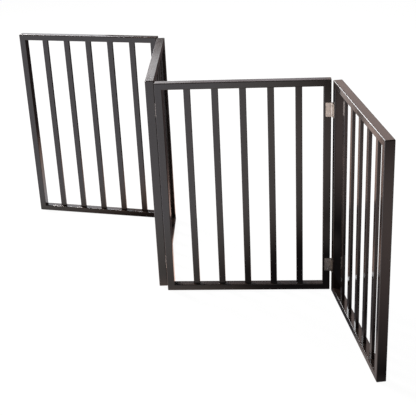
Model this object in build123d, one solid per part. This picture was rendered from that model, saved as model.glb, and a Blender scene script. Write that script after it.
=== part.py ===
from build123d import *
import os

# Free-standing folding gate of four equal slatted wooden panels, in millimetres.
# Row frame: X runs along the front panel (panel_3) to the right, Y away from its front, Z up.
# The origin is the middle of the underside of panel_3, on the floor.
# Panels 1 to 4 run from left to right. Each is drawn in its own panel frame, with u along its width
# from its left end, v through its depth from its front face, and z up from the floor.

# ---- driving dimensions ----
PANEL_W = 457.0          # width of one panel
PANEL_H = 610.0          # height of one panel
FRAME_D = 24.0           # depth of posts and rails
POST_W = 20.0            # face width of a post
RAIL_H = 18.0            # face height of a rail
FRAME_ROUND = 2.2        # rounding along the long edges of the frame

SLAT_COUNT = 5
SLAT_W = 18.0
SLAT_D = 8.5
SLAT_ROUND = 1.5
SLAT_TENON = 9.0         # how far a slat end goes into a rail

DOWEL_R = 3.0
DOWEL_L = 30.0
DOWEL_CHAMFER = 0.8
DOWEL_SPREAD = 10.0      # distance between the two dowels of one corner
DOWEL_IN_POST = 13.0     # how much of a dowel is in the post
DOWEL_HOLE_SPARE = 1.0   # empty depth past a dowel's end in the rail
DOWEL_CLEAR = 0.05       # radial room for glue around a dowel

END_GAP = 3.0            # space between the ends of neighbouring panels in line
PIN_OFFSET = 1.6         # how far a hinge pin's axis stands proud of the panel face

HINGE_H = 38.0
HINGE_FROM_END = 80.0    # hinge middle, measured from the panel's top or bottom
LEAF_T = 1.2
LEAF_W = 15.0            # leaf width on the post face
LEAF_CORNER = 1.5
KNUCKLE_R = 2.5
KNUCKLE_COUNT = 5
KNUCKLE_GAP = 0.3
KNUCKLE_CLEAR = 2.9      # a leaf stays this far from the axis beside the other leaf's knuckles
PIN_R = 1.2
PIN_RUNNING = 0.05       # radial clearance of the pin in the turning leaf
PIN_HEAD_R = 1.9
PIN_HEAD_H = 0.8

SCREW_SPACING = 24.0
SCREW_FROM_LEAF_EDGE = 8.0
SCREW_HEAD_R = 2.9
SCREW_HEAD_H = 1.6
SCREW_SHANK_R = 1.4
SCREW_L = 13.0
SCREW_TIP = 3.0
SCREW_SUNK = 0.05        # how far a screw head sits below the leaf's face
RECESS_L = 3.2
RECESS_W = 0.7
RECESS_DEPTH = 0.9

# Turn of each joint away from the in-line state, as the gate stands, in degrees.
TURN_12 = 76.5
TURN_23 = 87.5
TURN_34 = 79.5

# ---- derived sizes ----
OPENING_W = PANEL_W - 2 * POST_W
SLAT_GAP = (OPENING_W - SLAT_COUNT * SLAT_W) / (SLAT_COUNT + 1)
SLAT_L = PANEL_H - 2 * RAIL_H + 2 * SLAT_TENON
PANEL_STEP = PANEL_W + END_GAP
HINGE_HEIGHTS = {"lower": HINGE_FROM_END, "upper": PANEL_H - HINGE_FROM_END}
HALF_SPACING = SCREW_SPACING / 2
SCREW_U = LEAF_W - SCREW_FROM_LEAF_EDGE      # screw line, measured in from the panel's end

# Which face each panel's left and right ends carry their hinges on.
HINGE_FACES = {
    1: {"right": "front"},
    2: {"left": "front", "right": "back"},
    3: {"left": "back", "right": "front"},
    4: {"left": "front"},
}


def block(size, low_corner):
    """Axis-aligned block from its low corner."""
    return Pos(*low_corner) * Box(*size, align=(Align.MIN, Align.MIN, Align.MIN))


def upright(radius, height, u, v, z):
    """Vertical cylinder standing on z."""
    return Pos(u, v, z) * Cylinder(radius, height, align=(Align.CENTER, Align.CENTER, Align.MIN))


# ---- one panel, in its own frame ----
def whole_frame():
    """The flush rounded frame, before it is parted into posts and rails."""
    outer = block((PANEL_W, FRAME_D, PANEL_H), (0, 0, 0))
    opening = block((OPENING_W, FRAME_D, PANEL_H - 2 * RAIL_H), (POST_W, 0, RAIL_H))
    frame = outer - opening
    faces = frame.faces().filter_by(Axis.Y)
    face_edges = ShapeList(edge for face in faces for edge in face.edges())
    upright_corners = frame.edges().filter_by(Axis.Y).filter_by(
        lambda edge: edge.center().X < 1 or edge.center().X > PANEL_W - 1
    )
    return fillet(face_edges + upright_corners, FRAME_ROUND)


def slat(index):
    """One upright slat with rounded long edges, its ends inside the rails."""
    u = POST_W + SLAT_GAP * (index + 1) + SLAT_W * index
    v = (FRAME_D - SLAT_D) / 2
    solid = block((SLAT_W, SLAT_D, SLAT_L), (u, v, RAIL_H - SLAT_TENON))
    return fillet(solid.edges().filter_by(Axis.Z), SLAT_ROUND)


def dowel_places():
    """Middle line starts of the corner dowels: (u of post-side end, v, z, direction along u)."""
    places = []
    for z in (RAIL_H / 2, PANEL_H - RAIL_H / 2):
        for v in ((FRAME_D - DOWEL_SPREAD) / 2, (FRAME_D + DOWEL_SPREAD) / 2):
            places.append((POST_W - DOWEL_IN_POST, v, z, 1))
            places.append((PANEL_W - POST_W + DOWEL_IN_POST, v, z, -1))
    return places


def lying_rod(radius, length, u, v, z, direction):
    """Rod along u, starting at u and running in the given direction."""
    turn = Rot(0, 90 * direction, 0)
    return Pos(u, v, z) * turn * Cylinder(radius, length, align=(Align.CENTER, Align.CENTER, Align.MIN))


def dowel(u, v, z, direction):
    rod = lying_rod(DOWEL_R, DOWEL_L, u, v, z, direction)
    return chamfer(rod.edges().filter_by(GeomType.CIRCLE), DOWEL_CHAMFER)


def dowel_hole(u, v, z, direction):
    return lying_rod(DOWEL_R + DOWEL_CLEAR, DOWEL_L + DOWEL_HOLE_SPARE, u, v, z, direction)


# ---- hinge screws ----
def screw_body():
    """Countersunk wood screw about Z, its head's top at z = 0, pointing down."""
    outline = Polyline(
        (0, 0),
        (SCREW_HEAD_R, 0),
        (SCREW_SHANK_R, -SCREW_HEAD_H),
        (SCREW_SHANK_R, -SCREW_L + SCREW_TIP),
        (0, -SCREW_L),
        close=True,
    )
    return revolve(Plane.XZ * make_face(outline), Axis.Z)


def screw_with_recess():
    cross = Box(RECESS_L, RECESS_W, RECESS_DEPTH * 2) + Box(RECESS_W, RECESS_L, RECESS_DEPTH * 2)
    return screw_body() - cross


def hinge_ends(panel):
    """(u of the panel's end, direction from the end into the panel, face) for each hinged end."""
    ends = []
    for side, face in HINGE_FACES[panel].items():
        if side == "left":
            ends.append((0, 1, face))
        else:
            ends.append((PANEL_W, -1, face))
    return ends


def screw_places(panel):
    """Where this panel's hinge screws sit: the head's top on the leaf's face, pointing into the wood."""
    depth = LEAF_T - SCREW_SUNK
    places = []
    for end_u, inward, face in hinge_ends(panel):
        u = end_u + inward * SCREW_U
        for height in HINGE_HEIGHTS.values():
            for z in (height - HALF_SPACING, height + HALF_SPACING):
                if face == "front":
                    places.append(Pos(u, -depth, z) * Rot(90, 0, 0))
                else:
                    places.append(Pos(u, FRAME_D + depth, z) * Rot(-90, 0, 0))
    return places


# ---- hinges, drawn about the pin ----
# Pin frame: the axis is Z through the origin, the wood faces are at y = PIN_OFFSET,
# the left panel is at negative x and the right panel at positive x.
def knuckle_zones(owner):
    """(low z, high z) of the knuckles that belong to the fixed or the turning leaf."""
    pitch = HINGE_H / KNUCKLE_COUNT
    first = 0 if owner == "fixed" else 1
    low = -HINGE_H / 2
    return [(low + pitch * i, low + pitch * (i + 1)) for i in range(first, KNUCKLE_COUNT, 2)]


def leaf(side, owner):
    """Hinge leaf on the left or right panel: a flat plate with its own rolled knuckles."""
    other = "turning" if owner == "fixed" else "fixed"
    reach = END_GAP / 2 + LEAF_W
    plate = block((reach, LEAF_T, HINGE_H), (0, PIN_OFFSET - LEAF_T, -HINGE_H / 2))
    far_corners = plate.edges().filter_by(Axis.Y).group_by(Axis.X)[-1]
    plate = fillet(far_corners, LEAF_CORNER)
    for low, high in knuckle_zones(other):
        notch_low = low - KNUCKLE_GAP / 2
        notch_high = high + KNUCKLE_GAP / 2
        size = (2 * KNUCKLE_CLEAR, 2 * KNUCKLE_CLEAR, notch_high - notch_low)
        plate -= block(size, (-KNUCKLE_CLEAR, -KNUCKLE_CLEAR, notch_low))
    for low, high in knuckle_zones(owner):
        trim_low = KNUCKLE_GAP / 2 if low > -HINGE_H / 2 + 1 else 0
        trim_high = KNUCKLE_GAP / 2 if high < HINGE_H / 2 - 1 else 0
        plate += upright(KNUCKLE_R, high - low - trim_low - trim_high, 0, 0, low + trim_low)
    hole_r = PIN_R if owner == "fixed" else PIN_R + PIN_RUNNING
    plate -= upright(hole_r, HINGE_H + 2, 0, 0, -HINGE_H / 2 - 1)
    screw_x = END_GAP / 2 + SCREW_U
    for z in (-HALF_SPACING, HALF_SPACING):
        plate -= Pos(screw_x, PIN_OFFSET - LEAF_T + SCREW_SUNK, z) * Rot(90, 0, 0) * screw_body()
        plate -= Pos(screw_x, PIN_OFFSET - LEAF_T, z) * Rot(90, 0, 0) * Cylinder(SCREW_HEAD_R, SCREW_SUNK * 2)
    if side == "left":
        plate = plate.mirror(Plane.YZ)
    return plate


def pin():
    """Hinge pin with a low round head at each end of the barrel."""
    half = HINGE_H / 2
    body = upright(PIN_R, HINGE_H, 0, 0, -half)
    for low in (half, -half - PIN_HEAD_H):
        head = upright(PIN_HEAD_R, PIN_HEAD_H, 0, 0, low)
        outer_z = half + PIN_HEAD_H if low > 0 else -half - PIN_HEAD_H
        rim = head.edges().filter_by(GeomType.CIRCLE).filter_by(lambda edge: abs(edge.center().Z - outer_z) < 0.01)
        body += fillet(rim, PIN_HEAD_H * 0.6)
    return body


# ---- placing the panels as the gate stands ----
def turned(pin_place, degrees):
    """Turn about the upright axis through pin_place."""
    x, y = pin_place
    return Pos(x, y, 0) * Rot(0, 0, degrees) * Pos(-x, -y, 0)


HALF_D = FRAME_D / 2
PIN_34 = ((PANEL_W + END_GAP) / 2, -HALF_D - PIN_OFFSET)
PIN_23 = (-(PANEL_W + END_GAP) / 2, HALF_D + PIN_OFFSET)
PIN_12_IN_LINE = (PIN_23[0] - PANEL_STEP, -HALF_D - PIN_OFFSET)

TURN_PANEL_2 = turned(PIN_23, -TURN_23)
TURN_PANEL_1 = TURN_PANEL_2 * turned(PIN_12_IN_LINE, TURN_12)
TURN_PANEL_4 = turned(PIN_34, -TURN_34)

FIRST_U = -PANEL_W / 2
PANEL_PLACES = {
    1: TURN_PANEL_1 * Pos(FIRST_U - 2 * PANEL_STEP, -HALF_D, 0),
    2: TURN_PANEL_2 * Pos(FIRST_U - PANEL_STEP, -HALF_D, 0),
    3: Pos(FIRST_U, -HALF_D, 0),
    4: TURN_PANEL_4 * Pos(FIRST_U + PANEL_STEP, -HALF_D, 0),
}

# A hinge frame for each joint: the pin frame placed on the left panel and on the right panel.
# On a back-face hinge the pin frame is turned half round, so left and right change places.
JOINTS = {
    "12": {"pin": PIN_12_IN_LINE, "face": "front", "left": TURN_PANEL_1, "right": TURN_PANEL_2, "fixed": "right"},
    "23": {"pin": PIN_23, "face": "back", "left": TURN_PANEL_2, "right": Pos(0, 0, 0), "fixed": "right"},
    "34": {"pin": PIN_34, "face": "front", "left": Pos(0, 0, 0), "right": TURN_PANEL_4, "fixed": "left"},
}


def panel_pieces(panel):
    """All wooden pieces and screws of one panel, in the panel's own frame, by node name."""
    name = f"panel_{panel}"
    frame = whole_frame()
    slats = [slat(index) for index in range(SLAT_COUNT)]
    dowels = [dowel(*place) for place in dowel_places()]
    screws = [place * screw_with_recess() for place in screw_places(panel)]
    sockets = slats + [dowel_hole(*place) for place in dowel_places()]
    sockets += [place * screw_body() for place in screw_places(panel)]

    right_u = PANEL_W - POST_W
    cells = {
        "left_post": block((POST_W, FRAME_D, PANEL_H), (0, 0, 0)),
        "right_post": block((POST_W, FRAME_D, PANEL_H), (right_u, 0, 0)),
        "bottom_rail": block((OPENING_W, FRAME_D, RAIL_H), (POST_W, 0, 0)),
        "top_rail": block((OPENING_W, FRAME_D, RAIL_H), (POST_W, 0, PANEL_H - RAIL_H)),
    }
    pieces = {}
    for part_name, cell in cells.items():
        pieces[f"{name}_{part_name}"] = (frame & cell) - sockets
    for index, piece in enumerate(slats):
        pieces[f"{name}_slat_{index + 1}"] = piece
    pieces[f"{name}_corner_dowels"] = Compound(children=dowels)
    pieces[f"{name}_hinge_screws"] = Compound(children=screws)
    return {node: PANEL_PLACES[panel] * piece for node, piece in pieces.items()}


def hinge_pieces(joint):
    """Leaves and pins of the two hinges at one joint, by node name."""
    facts = JOINTS[joint]
    name = f"hinge_{joint}"
    flip = 0 if facts["face"] == "front" else 180
    pieces = {}
    pins = []
    for level, height in HINGE_HEIGHTS.items():
        at_pin = Pos(*facts["pin"], height) * Rot(0, 0, flip)
        for side in ("left", "right"):
            drawn_side = side
            if facts["face"] == "back":
                drawn_side = "right" if side == "left" else "left"
            owner = "fixed" if facts["fixed"] == side else "turning"
            pieces[f"{name}_{level}_{side}_leaf"] = facts[side] * at_pin * leaf(drawn_side, owner)
        pins.append(facts[facts["fixed"]] * at_pin * pin())
    pieces[f"{name}_pins"] = Compound(children=pins)
    return pieces


def all_pieces():
    pieces = {}
    for panel in PANEL_PLACES:
        pieces.update(panel_pieces(panel))
    for joint in JOINTS:
        pieces.update(hinge_pieces(joint))
    return pieces


def main():
    os.makedirs("parts", exist_ok=True)
    for node, piece in all_pieces().items():
        export_step(piece, f"parts/{node}.step")


main()
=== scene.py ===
import math

import bpy
from mathutils import Matrix, Vector

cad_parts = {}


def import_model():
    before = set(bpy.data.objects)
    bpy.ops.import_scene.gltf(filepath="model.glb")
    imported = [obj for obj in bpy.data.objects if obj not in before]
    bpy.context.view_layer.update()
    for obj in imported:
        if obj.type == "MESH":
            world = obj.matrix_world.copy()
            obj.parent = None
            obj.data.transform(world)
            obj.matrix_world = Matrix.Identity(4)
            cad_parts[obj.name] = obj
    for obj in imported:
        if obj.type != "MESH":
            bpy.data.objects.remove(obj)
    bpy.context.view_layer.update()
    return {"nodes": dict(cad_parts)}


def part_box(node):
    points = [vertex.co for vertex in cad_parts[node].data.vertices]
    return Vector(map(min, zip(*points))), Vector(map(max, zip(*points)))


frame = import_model()

PANELS = (1, 2, 3, 4)
SLATS = (1, 2, 3, 4, 5)
NODES = frame["nodes"]

# ---- camera, as a viewer stands before the gate ----
CAMERA_PLACE = (0.0950, -2.3551, 1.3133)
CAMERA_TURN = 4.831          # degrees to the left
CAMERA_DOWN = 24.21          # degrees below level
CAMERA_ROLL = -2.755         # degrees
CAMERA_LENS = 81.84          # mm on a 36 mm sensor


# ---- node helpers ----
class Graph:
    """Short calls for building one material's node tree."""

    def __init__(self, name):
        self.material = bpy.data.materials.new(name)
        self.material.use_nodes = True
        self.tree = self.material.node_tree
        self.shader = self.tree.nodes["Principled BSDF"]

    def add(self, kind, **settings):
        node = self.tree.nodes.new(kind)
        for key, value in settings.items():
            setattr(node, key, value)
        return node

    def link(self, source, target):
        self.tree.links.new(source, target)

    def value(self, socket_name, value):
        self.shader.inputs[socket_name].default_value = value

    def noise(self, vector, scale, detail=4.0, roughness=0.55):
        node = self.add("ShaderNodeTexNoise")
        node.inputs["Scale"].default_value = scale
        node.inputs["Detail"].default_value = detail
        node.inputs["Roughness"].default_value = roughness
        self.link(vector, node.inputs["Vector"])
        return node.outputs["Fac"]

    def remap(self, source, low, high, to_low, to_high):
        node = self.add("ShaderNodeMapRange")
        self.link(source, node.inputs["Value"])
        for key, value in (("From Min", low), ("From Max", high), ("To Min", to_low), ("To Max", to_high)):
            node.inputs[key].default_value = value
        return node.outputs["Result"]

    def math(self, operation, a, b):
        node = self.add("ShaderNodeMath", operation=operation)
        for socket, item in zip(node.inputs, (a, b)):
            if isinstance(item, (int, float)):
                socket.default_value = item
            else:
                self.link(item, socket)
        return node.outputs["Value"]

    def mix(self, factor, first, second):
        node = self.add("ShaderNodeMix", data_type="RGBA")
        self.link(factor, node.inputs["Factor"])
        for socket, item in ((node.inputs["A"], first), (node.inputs["B"], second)):
            if isinstance(item, tuple):
                socket.default_value = (*item, 1.0)
            else:
                self.link(item, socket)
        return node.outputs["Result"]

    def bump(self, height, strength, distance):
        node = self.add("ShaderNodeBump")
        node.inputs["Strength"].default_value = strength
        node.inputs["Distance"].default_value = distance
        self.link(height, node.inputs["Height"])
        self.link(node.outputs["Normal"], self.shader.inputs["Normal"])

    def rounded_edge(self, heading):
        """1 on the arrises of a piece lying at that heading, 0 on its flat faces."""
        geometry = self.add("ShaderNodeNewGeometry")
        turned = self.add("ShaderNodeVectorRotate", rotation_type="Z_AXIS")
        turned.inputs["Angle"].default_value = -heading
        self.link(geometry.outputs["True Normal"], turned.inputs["Vector"])
        split = self.add("ShaderNodeSeparateXYZ")
        self.link(turned.outputs["Vector"], split.inputs["Vector"])
        sizes = [self.math("ABSOLUTE", split.outputs[axis], 0.0) for axis in "XYZ"]
        steepest = self.math("MAXIMUM", self.math("MAXIMUM", sizes[0], sizes[1]), sizes[2])
        return self.remap(steepest, 0.72, 0.97, 1.0, 0.0)

    def placed(self, move, turn, scale):
        """Object coordinates moved, turned about Z and scaled, so that grain lies along a piece."""
        coordinates = self.add("ShaderNodeTexCoord")
        aligned = self.add("ShaderNodeMapping")
        aligned.inputs["Location"].default_value = move
        aligned.inputs["Rotation"].default_value = (0, 0, turn)
        self.link(coordinates.outputs["Object"], aligned.inputs["Vector"])
        stretched = self.add("ShaderNodeMapping")
        stretched.inputs["Scale"].default_value = scale
        self.link(aligned.outputs["Vector"], stretched.inputs["Vector"])
        return aligned.outputs["Vector"], stretched.outputs["Vector"]


def middle(node):
    low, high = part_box(node)
    return (Vector(low) + Vector(high)) / 2


def panel_heading(panel):
    """Angle about Z of the line from a panel's left post to its right post."""
    along = middle(f"panel_{panel}_right_post") - middle(f"panel_{panel}_left_post")
    return math.atan2(along.y, along.x)


# ---- materials ----
LACQUER_DARK = (0.007, 0.0062, 0.0066)
LACQUER_BROWN = (0.034, 0.018, 0.0125)
PORE_COLOUR = (0.003, 0.0025, 0.0025)
WORN_EDGE = (0.055, 0.027, 0.016)


def lacquer(name, panel, lying, seed):
    """Dark stained wood under semi-gloss lacquer, with its grain along the piece."""
    graph = Graph(name)
    heading = panel_heading(panel)
    origin = middle(f"panel_{panel}_left_post")
    turned_origin = Matrix.Rotation(-heading, 3, "Z") @ Vector((origin.x, origin.y, 0))
    move = (seed * 0.37 - turned_origin.x, seed * 0.11 - turned_origin.y, seed * 0.23)
    scale = (0.035, 1.0, 1.0) if lying else (1.0, 1.0, 0.035)
    plain, grain = graph.placed(move, -heading, scale)
    streaks = graph.noise(grain, 420.0, 6.0, 0.62)
    bands = graph.noise(grain, 70.0, 3.0, 0.5)
    clouds = graph.noise(plain, 9.0, 3.0, 0.5)
    pores = graph.noise(grain, 950.0, 3.0, 0.7)

    fine_warmth = graph.remap(streaks, 0.3, 0.72, 0.1, 1.0)
    broad_warmth = graph.remap(bands, 0.3, 0.7, 0.35, 1.0)
    warmth = graph.math("MULTIPLY", fine_warmth, broad_warmth)
    colour = graph.mix(warmth, LACQUER_DARK, LACQUER_BROWN)
    pore_mask = graph.remap(pores, 0.62, 0.72, 0.0, 0.85)
    colour = graph.mix(pore_mask, colour, PORE_COLOUR)
    wear = graph.math("MULTIPLY", graph.rounded_edge(heading), graph.remap(clouds, 0.35, 0.65, 0.35, 1.0))
    colour = graph.mix(wear, colour, WORN_EDGE)
    graph.link(colour, graph.shader.inputs["Base Color"])

    sheen = graph.remap(clouds, 0.3, 0.7, 0.1, 0.15)
    roughness = graph.math("ADD", sheen, graph.remap(streaks, 0.3, 0.7, -0.02, 0.03))
    graph.link(roughness, graph.shader.inputs["Roughness"])
    relief = graph.math("SUBTRACT", graph.math("MULTIPLY", streaks, 0.5), pore_mask)
    graph.bump(relief, 0.07, 0.0003)
    graph.value("IOR", 1.5)
    return graph.material


def metal(name, colour, dark, roughness, brushed):
    """Plated steel, brushed lengthwise, with faint tarnish."""
    graph = Graph(name)
    coordinates = graph.add("ShaderNodeTexCoord").outputs["Object"]
    stretched = graph.add("ShaderNodeMapping")
    stretched.inputs["Scale"].default_value = brushed
    graph.link(coordinates, stretched.inputs["Vector"])
    lines = graph.noise(stretched.outputs["Vector"], 1500.0, 3.0, 0.6)
    tarnish = graph.noise(coordinates, 160.0, 4.0, 0.6)
    tarnished = graph.mix(graph.remap(tarnish, 0.45, 0.75, 0.0, 1.0), colour, dark)
    graph.link(tarnished, graph.shader.inputs["Base Color"])
    brushing = graph.remap(lines, 0.3, 0.7, roughness - 0.06, roughness + 0.08)
    dulling = graph.remap(tarnish, 0.4, 0.8, 0.0, 0.1)
    graph.link(graph.math("ADD", brushing, dulling), graph.shader.inputs["Roughness"])
    graph.bump(lines, 0.1, 0.0001)
    graph.value("Metallic", 1.0)
    return graph.material


def bare_beech():
    """Unfinished wood of the hidden dowels."""
    graph = Graph("bare_beech")
    _, grain = graph.placed((0, 0, 0), 0, (0.05, 1.0, 1.0))
    streaks = graph.noise(grain, 500.0, 4.0)
    graph.link(graph.mix(streaks, (0.52, 0.36, 0.2), (0.68, 0.5, 0.31)), graph.shader.inputs["Base Color"])
    graph.link(graph.remap(streaks, 0.3, 0.7, 0.6, 0.75), graph.shader.inputs["Roughness"])
    graph.bump(streaks, 0.2, 0.0003)
    return graph.material


def paint(node, material):
    for slot in NODES[node].material_slots:
        slot.material = material


def paint_wood():
    seed = 0
    beech = bare_beech()
    for panel in PANELS:
        for part in ("left_post", "right_post"):
            seed += 1
            paint(f"panel_{panel}_{part}", lacquer(f"lacquer_{panel}_{part}", panel, False, seed))
        for part in ("top_rail", "bottom_rail"):
            seed += 1
            paint(f"panel_{panel}_{part}", lacquer(f"lacquer_{panel}_{part}", panel, True, seed))
        for index in SLATS:
            seed += 1
            paint(f"panel_{panel}_slat_{index}", lacquer(f"lacquer_{panel}_slat_{index}", panel, False, seed))
        paint(f"panel_{panel}_corner_dowels", beech)


def paint_metal():
    nickel = metal(
        "satin_nickel",
        colour=(0.62, 0.57, 0.51),
        dark=(0.45, 0.4, 0.35),
        roughness=0.3,
        brushed=(1.0, 1.0, 0.02),
    )
    pin_steel = metal(
        "pin_steel",
        colour=(0.5, 0.47, 0.44),
        dark=(0.35, 0.32, 0.3),
        roughness=0.26,
        brushed=(1.0, 1.0, 0.05),
    )
    screw_steel = metal(
        "screw_steel",
        colour=(0.66, 0.63, 0.6),
        dark=(0.5, 0.46, 0.42),
        roughness=0.24,
        brushed=(1.0, 1.0, 1.0),
    )
    for node in NODES:
        if node.endswith("_leaf"):
            paint(node, nickel)
        elif node.endswith("_pins"):
            paint(node, pin_steel)
        elif node.endswith("_hinge_screws"):
            paint(node, screw_steel)


# ---- stage ----
FLOOR_REACH = 30.0             # from the middle of a floor to each of its sides

# The mirrored floor glows with painted light and painted shade: where it is dark, and the colours of its
# painted light.
PAINTED_SHADE_X = 0.30                 # next to the front panel it is dark to the right of this
PAINTED_SHADE_SLOPE = 0.938            # metres into the light for each metre to the left
BACK_PANEL_FOOT = (-0.70, 0.55)       # a point at the foot of the back-left panel's front
BACK_PANEL_FRONT = (-0.19, -0.98)     # direction out of that panel's front
# painted light: the floor behind the gate is made brighter and warmer
PAINTED_LIGHT_BEHIND_TINT = (1.1, 0.84, 0.74)
RAMP_START = -0.2              # metres into the light where the brightness steps start
RAMP_END = 0.8
# painted light and painted shade of the mirrored floor, in steps from dark to bright
PAINTED_LIGHT_STEPS = (                # metres into the light, colour
    (-0.10, (0.07, 0.07, 0.08)),
    (-0.02, (0.20, 0.18, 0.18)),
    (0.05, (0.55, 0.48, 0.46)),
    (0.15, (0.95, 0.86, 0.82)),
    (0.30, (1.38, 1.28, 1.24)),
    (0.50, (1.62, 1.54, 1.60)),
    (0.75, (1.65, 1.60, 1.70)),
)

# Painted pools of light on the mirrored floor: middle, reach and colour.
PAINTED_FRONT_POOL = ((0.95, -1.25), 0.95, (1.1, 0.86, 0.80))
PAINTED_CORNER_POOL = ((0.28, -0.37), 0.14, (0.45, 0.38, 0.35))

AMBIENT_COLOUR = (0.92, 0.95, 1.0)
AMBIENT_STRENGTH = 0.13
WHITE = (1.0, 1.0, 1.0)

# Soft lamps aimed at the middle of the gate: name, place, size, radiance, colour.
GATE_MIDDLE = (0.0, 0.0, 0.4)
STUDIO_LAMPS = (
    ("key", (-2.05, 1.72, 2.55), (0.9, 0.9), 120.0, (1.0, 0.97, 0.93)),
    ("front_fill", (0.0, -3.5, 1.7), (3.0, 1.0), 1.0, WHITE),
    ("right_fill", (3.2, 0.0, 1.5), (2.0, 1.0), 0.8, WHITE),
)

# Lamps in the upright plane y = BACK_Y behind the gate: name, x range, z range, radiance, colour.
BACK_Y = 3.0
BACK_LAMPS = (
    ("left_end", (-2.1, -1.5), (0.8, 2.2), 5.0, (1.0, 0.97, 0.93)),
    ("left_high", (-1.5, -0.8), (1.7, 2.4), 22.0, (0.95, 0.97, 1.0)),
    ("left_low", (-1.5, -0.9), (0.8, 1.65), 1.25, (0.93, 0.95, 1.0)),
    ("middle_left", (-0.9, -0.42), (1.34, 1.58), 1.8, (1.0, 0.98, 1.0)),
    ("middle", (-0.42, 0.36), (1.36, 1.58), 1.15, (1.0, 0.93, 0.98)),
    ("right", (0.38, 1.5), (1.38, 2.4), 0.95, (1.0, 0.78, 0.72)),
)


def flat_square(name, material):
    """Square floor at z = 0, staged so that it isn't part of the gate."""
    mesh = bpy.data.meshes.new(name)
    r = FLOOR_REACH
    mesh.from_pydata([(-r, -r, 0), (r, -r, 0), (r, r, 0), (-r, r, 0)], [], [(0, 1, 2, 3)])
    mesh.materials.append(material)
    plane = bpy.data.objects.new(name, mesh)
    bpy.context.scene.collection.objects.link(plane)
    return plane


def seen_only_by(item, camera_rays=False, glossy_rays=False):
    """Hide an object from every kind of ray but the given ones."""
    item.visible_camera = camera_rays
    item.visible_glossy = glossy_rays
    item.visible_diffuse = False
    item.visible_transmission = False
    item.visible_volume_scatter = False
    item.visible_shadow = False


def pale_floor():
    """The plain floor that the camera sees, bright enough to stay pale in the gate's soft shadow."""
    graph = Graph("pale_floor")
    graph.value("Base Color", (0.04, 0.04, 0.04, 1.0))
    graph.value("Roughness", 1.0)
    graph.value("Specular IOR Level", 0.0)
    graph.value("Emission Color", (1.0, 1.0, 1.0, 1.0))
    graph.value("Emission Strength", 0.97)
    graph.material.cycles.emission_sampling = "NONE"
    seen_only_by(flat_square("floor", graph.material), camera_rays=True)


def painted_light_ramp(graph, distance):
    """Painted floor light and shade against the distance, in metres, into the painted lit side."""
    ramp = graph.add("ShaderNodeValToRGB")
    graph.link(graph.remap(distance, RAMP_START, RAMP_END, 0.0, 1.0), ramp.inputs["Fac"])
    elements = ramp.color_ramp.elements
    while len(elements) < len(PAINTED_LIGHT_STEPS):
        elements.new(0.5)
    for element, (place, colour) in zip(elements, PAINTED_LIGHT_STEPS):
        element.position = place - RAMP_START
        element.color = (*colour, 1.0)
    return ramp.outputs["Color"]


def add_painted_pool(graph, base, x, y, pool):
    """Add a round painted pool of light, brightest in its middle, to a floor colour."""
    (middle_x, middle_y), reach, colour = pool
    across = graph.math("SUBTRACT", x, middle_x)
    along = graph.math("SUBTRACT", y, middle_y)
    square = graph.math("ADD", graph.math("MULTIPLY", across, across), graph.math("MULTIPLY", along, along))
    lit = graph.add("ShaderNodeMix", data_type="RGBA", blend_type="ADD")
    graph.link(graph.remap(square, 0.0, reach ** 2, 1.0, 0.0), lit.inputs["Factor"])
    graph.link(base, lit.inputs["A"])
    lit.inputs["B"].default_value = (*colour, 1.0)
    return lit.outputs["Result"]


def painted_light_mirrored_floor():
    """What the lacquer mirrors from below: a glowing floor with painted light on the left and painted shade
    at the gate's foot and to its right.
    """
    graph = Graph("painted_light_mirrored_floor")
    coordinates = graph.add("ShaderNodeTexCoord").outputs["Object"]
    split = graph.add("ShaderNodeSeparateXYZ")
    graph.link(coordinates, split.inputs["Vector"])
    x, y = split.outputs["X"], split.outputs["Y"]

    left = graph.math("MULTIPLY", graph.math("SUBTRACT", x, PAINTED_SHADE_X), -PAINTED_SHADE_SLOPE)
    foot_x = graph.math("MULTIPLY", graph.math("SUBTRACT", x, BACK_PANEL_FOOT[0]), BACK_PANEL_FRONT[0])
    foot_y = graph.math("MULTIPLY", graph.math("SUBTRACT", y, BACK_PANEL_FOOT[1]), BACK_PANEL_FRONT[1])
    before_back_panel = graph.math("ADD", foot_x, foot_y)
    # Each shift, in metres, moves a place further into the painted light, or out of it into painted shade
    # where it is negative.
    shifts = (
        graph.remap(y, -0.6, -0.1, 0.03, -0.32),      # darker towards the front panel
        graph.remap(y, -0.05, 0.05, 0.0, 0.19),       # lighter again just behind it
        graph.remap(y, 0.0, 1.5, 0.0, -0.52),         # and darker again further back
        graph.remap(before_back_panel, 0.0, 0.28, -0.4, 0.0),      # dark at the back-left panel's foot
        graph.remap(before_back_panel, -0.06, -0.02, 0.4, 0.0),    # and not behind that panel
    )
    distance = left
    for shift in shifts:
        distance = graph.math("ADD", distance, shift)
    light = painted_light_ramp(graph, distance)

    # painted light: brighter and warmer behind the gate
    behind = graph.remap(y, -0.05, 0.05, 0.0, 1.0)
    tinted = graph.add("ShaderNodeMix", data_type="RGBA", blend_type="MULTIPLY")
    graph.link(graph.math("MULTIPLY", behind, graph.remap(left, 0.6, 0.9, 1.0, 0.0)), tinted.inputs["Factor"])
    graph.link(light, tinted.inputs["A"])
    tinted.inputs["B"].default_value = (*PAINTED_LIGHT_BEHIND_TINT, 1.0)
    # painted pools of light, a broad one in front and a small one by the gate's right-hand foot
    lit = add_painted_pool(graph, tinted.outputs["Result"], x, y, PAINTED_FRONT_POOL)
    lit = add_painted_pool(graph, lit, x, y, PAINTED_CORNER_POOL)

    graph.value("Base Color", (0.0, 0.0, 0.0, 1.0))
    graph.value("Specular IOR Level", 0.0)
    graph.link(lit, graph.shader.inputs["Emission Color"])
    graph.value("Emission Strength", 1.0)
    graph.material.cycles.emission_sampling = "NONE"
    seen_only_by(flat_square("painted_light_mirrored_floor", graph.material), glossy_rays=True)


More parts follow.
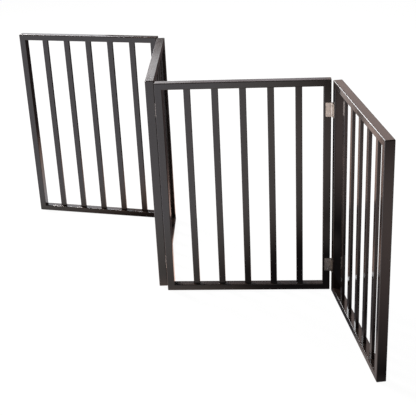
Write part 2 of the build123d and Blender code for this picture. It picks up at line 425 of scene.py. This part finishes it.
def softbox(name, place, target, size, radiance, colour):
    """Rectangular lamp of even brightness; white paper facing a radiance of 1 on all sides looks white."""
    data = bpy.data.lights.new(name, "AREA")
    data.shape = "RECTANGLE"
    data.size, data.size_y = size
    data.energy = radiance * math.pi * size[0] * size[1]
    data.color = colour
    lamp = bpy.data.objects.new(name, data)
    lamp.location = place
    lamp.rotation_mode = "QUATERNION"
    lamp.rotation_quaternion = (Vector(target) - Vector(place)).to_track_quat("-Z", "Y")
    lamp.visible_camera = False
    bpy.context.scene.collection.objects.link(lamp)


def back_lamp(name, x_range, z_range, radiance, colour):
    """Upright lamp behind the gate, facing straight forwards."""
    x, z = sum(x_range) / 2, sum(z_range) / 2
    size = (x_range[1] - x_range[0], z_range[1] - z_range[0])
    softbox(name, (x, BACK_Y, z), (x, 0.0, z), size, radiance, colour)


def world():
    ambient = bpy.data.worlds.new("studio")
    ambient.use_nodes = True
    background = ambient.node_tree.nodes["Background"]
    background.inputs["Color"].default_value = (*AMBIENT_COLOUR, 1.0)
    background.inputs["Strength"].default_value = AMBIENT_STRENGTH
    bpy.context.scene.world = ambient


def camera():
    data = bpy.data.cameras.new("camera")
    data.lens = CAMERA_LENS
    data.sensor_width = 36.0
    data.clip_end = 100.0
    eye = bpy.data.objects.new("camera", data)
    turn = Matrix.Rotation(math.radians(CAMERA_TURN), 4, "Z")
    down = Matrix.Rotation(math.radians(90 - CAMERA_DOWN), 4, "X")
    roll = Matrix.Rotation(math.radians(CAMERA_ROLL), 4, "Z")
    eye.matrix_world = Matrix.Translation(CAMERA_PLACE) @ turn @ down @ roll
    bpy.context.scene.collection.objects.link(eye)
    bpy.context.scene.camera = eye


def stage():
    bpy.context.scene.view_settings.view_transform = "Standard"
    pale_floor()
    painted_light_mirrored_floor()
    world()
    for name, place, size, radiance, colour in STUDIO_LAMPS:
        softbox(name, place, GATE_MIDDLE, size, radiance, colour)
    for lamp in BACK_LAMPS:
        back_lamp(*lamp)
    camera()


paint_wood()
paint_metal()
stage()
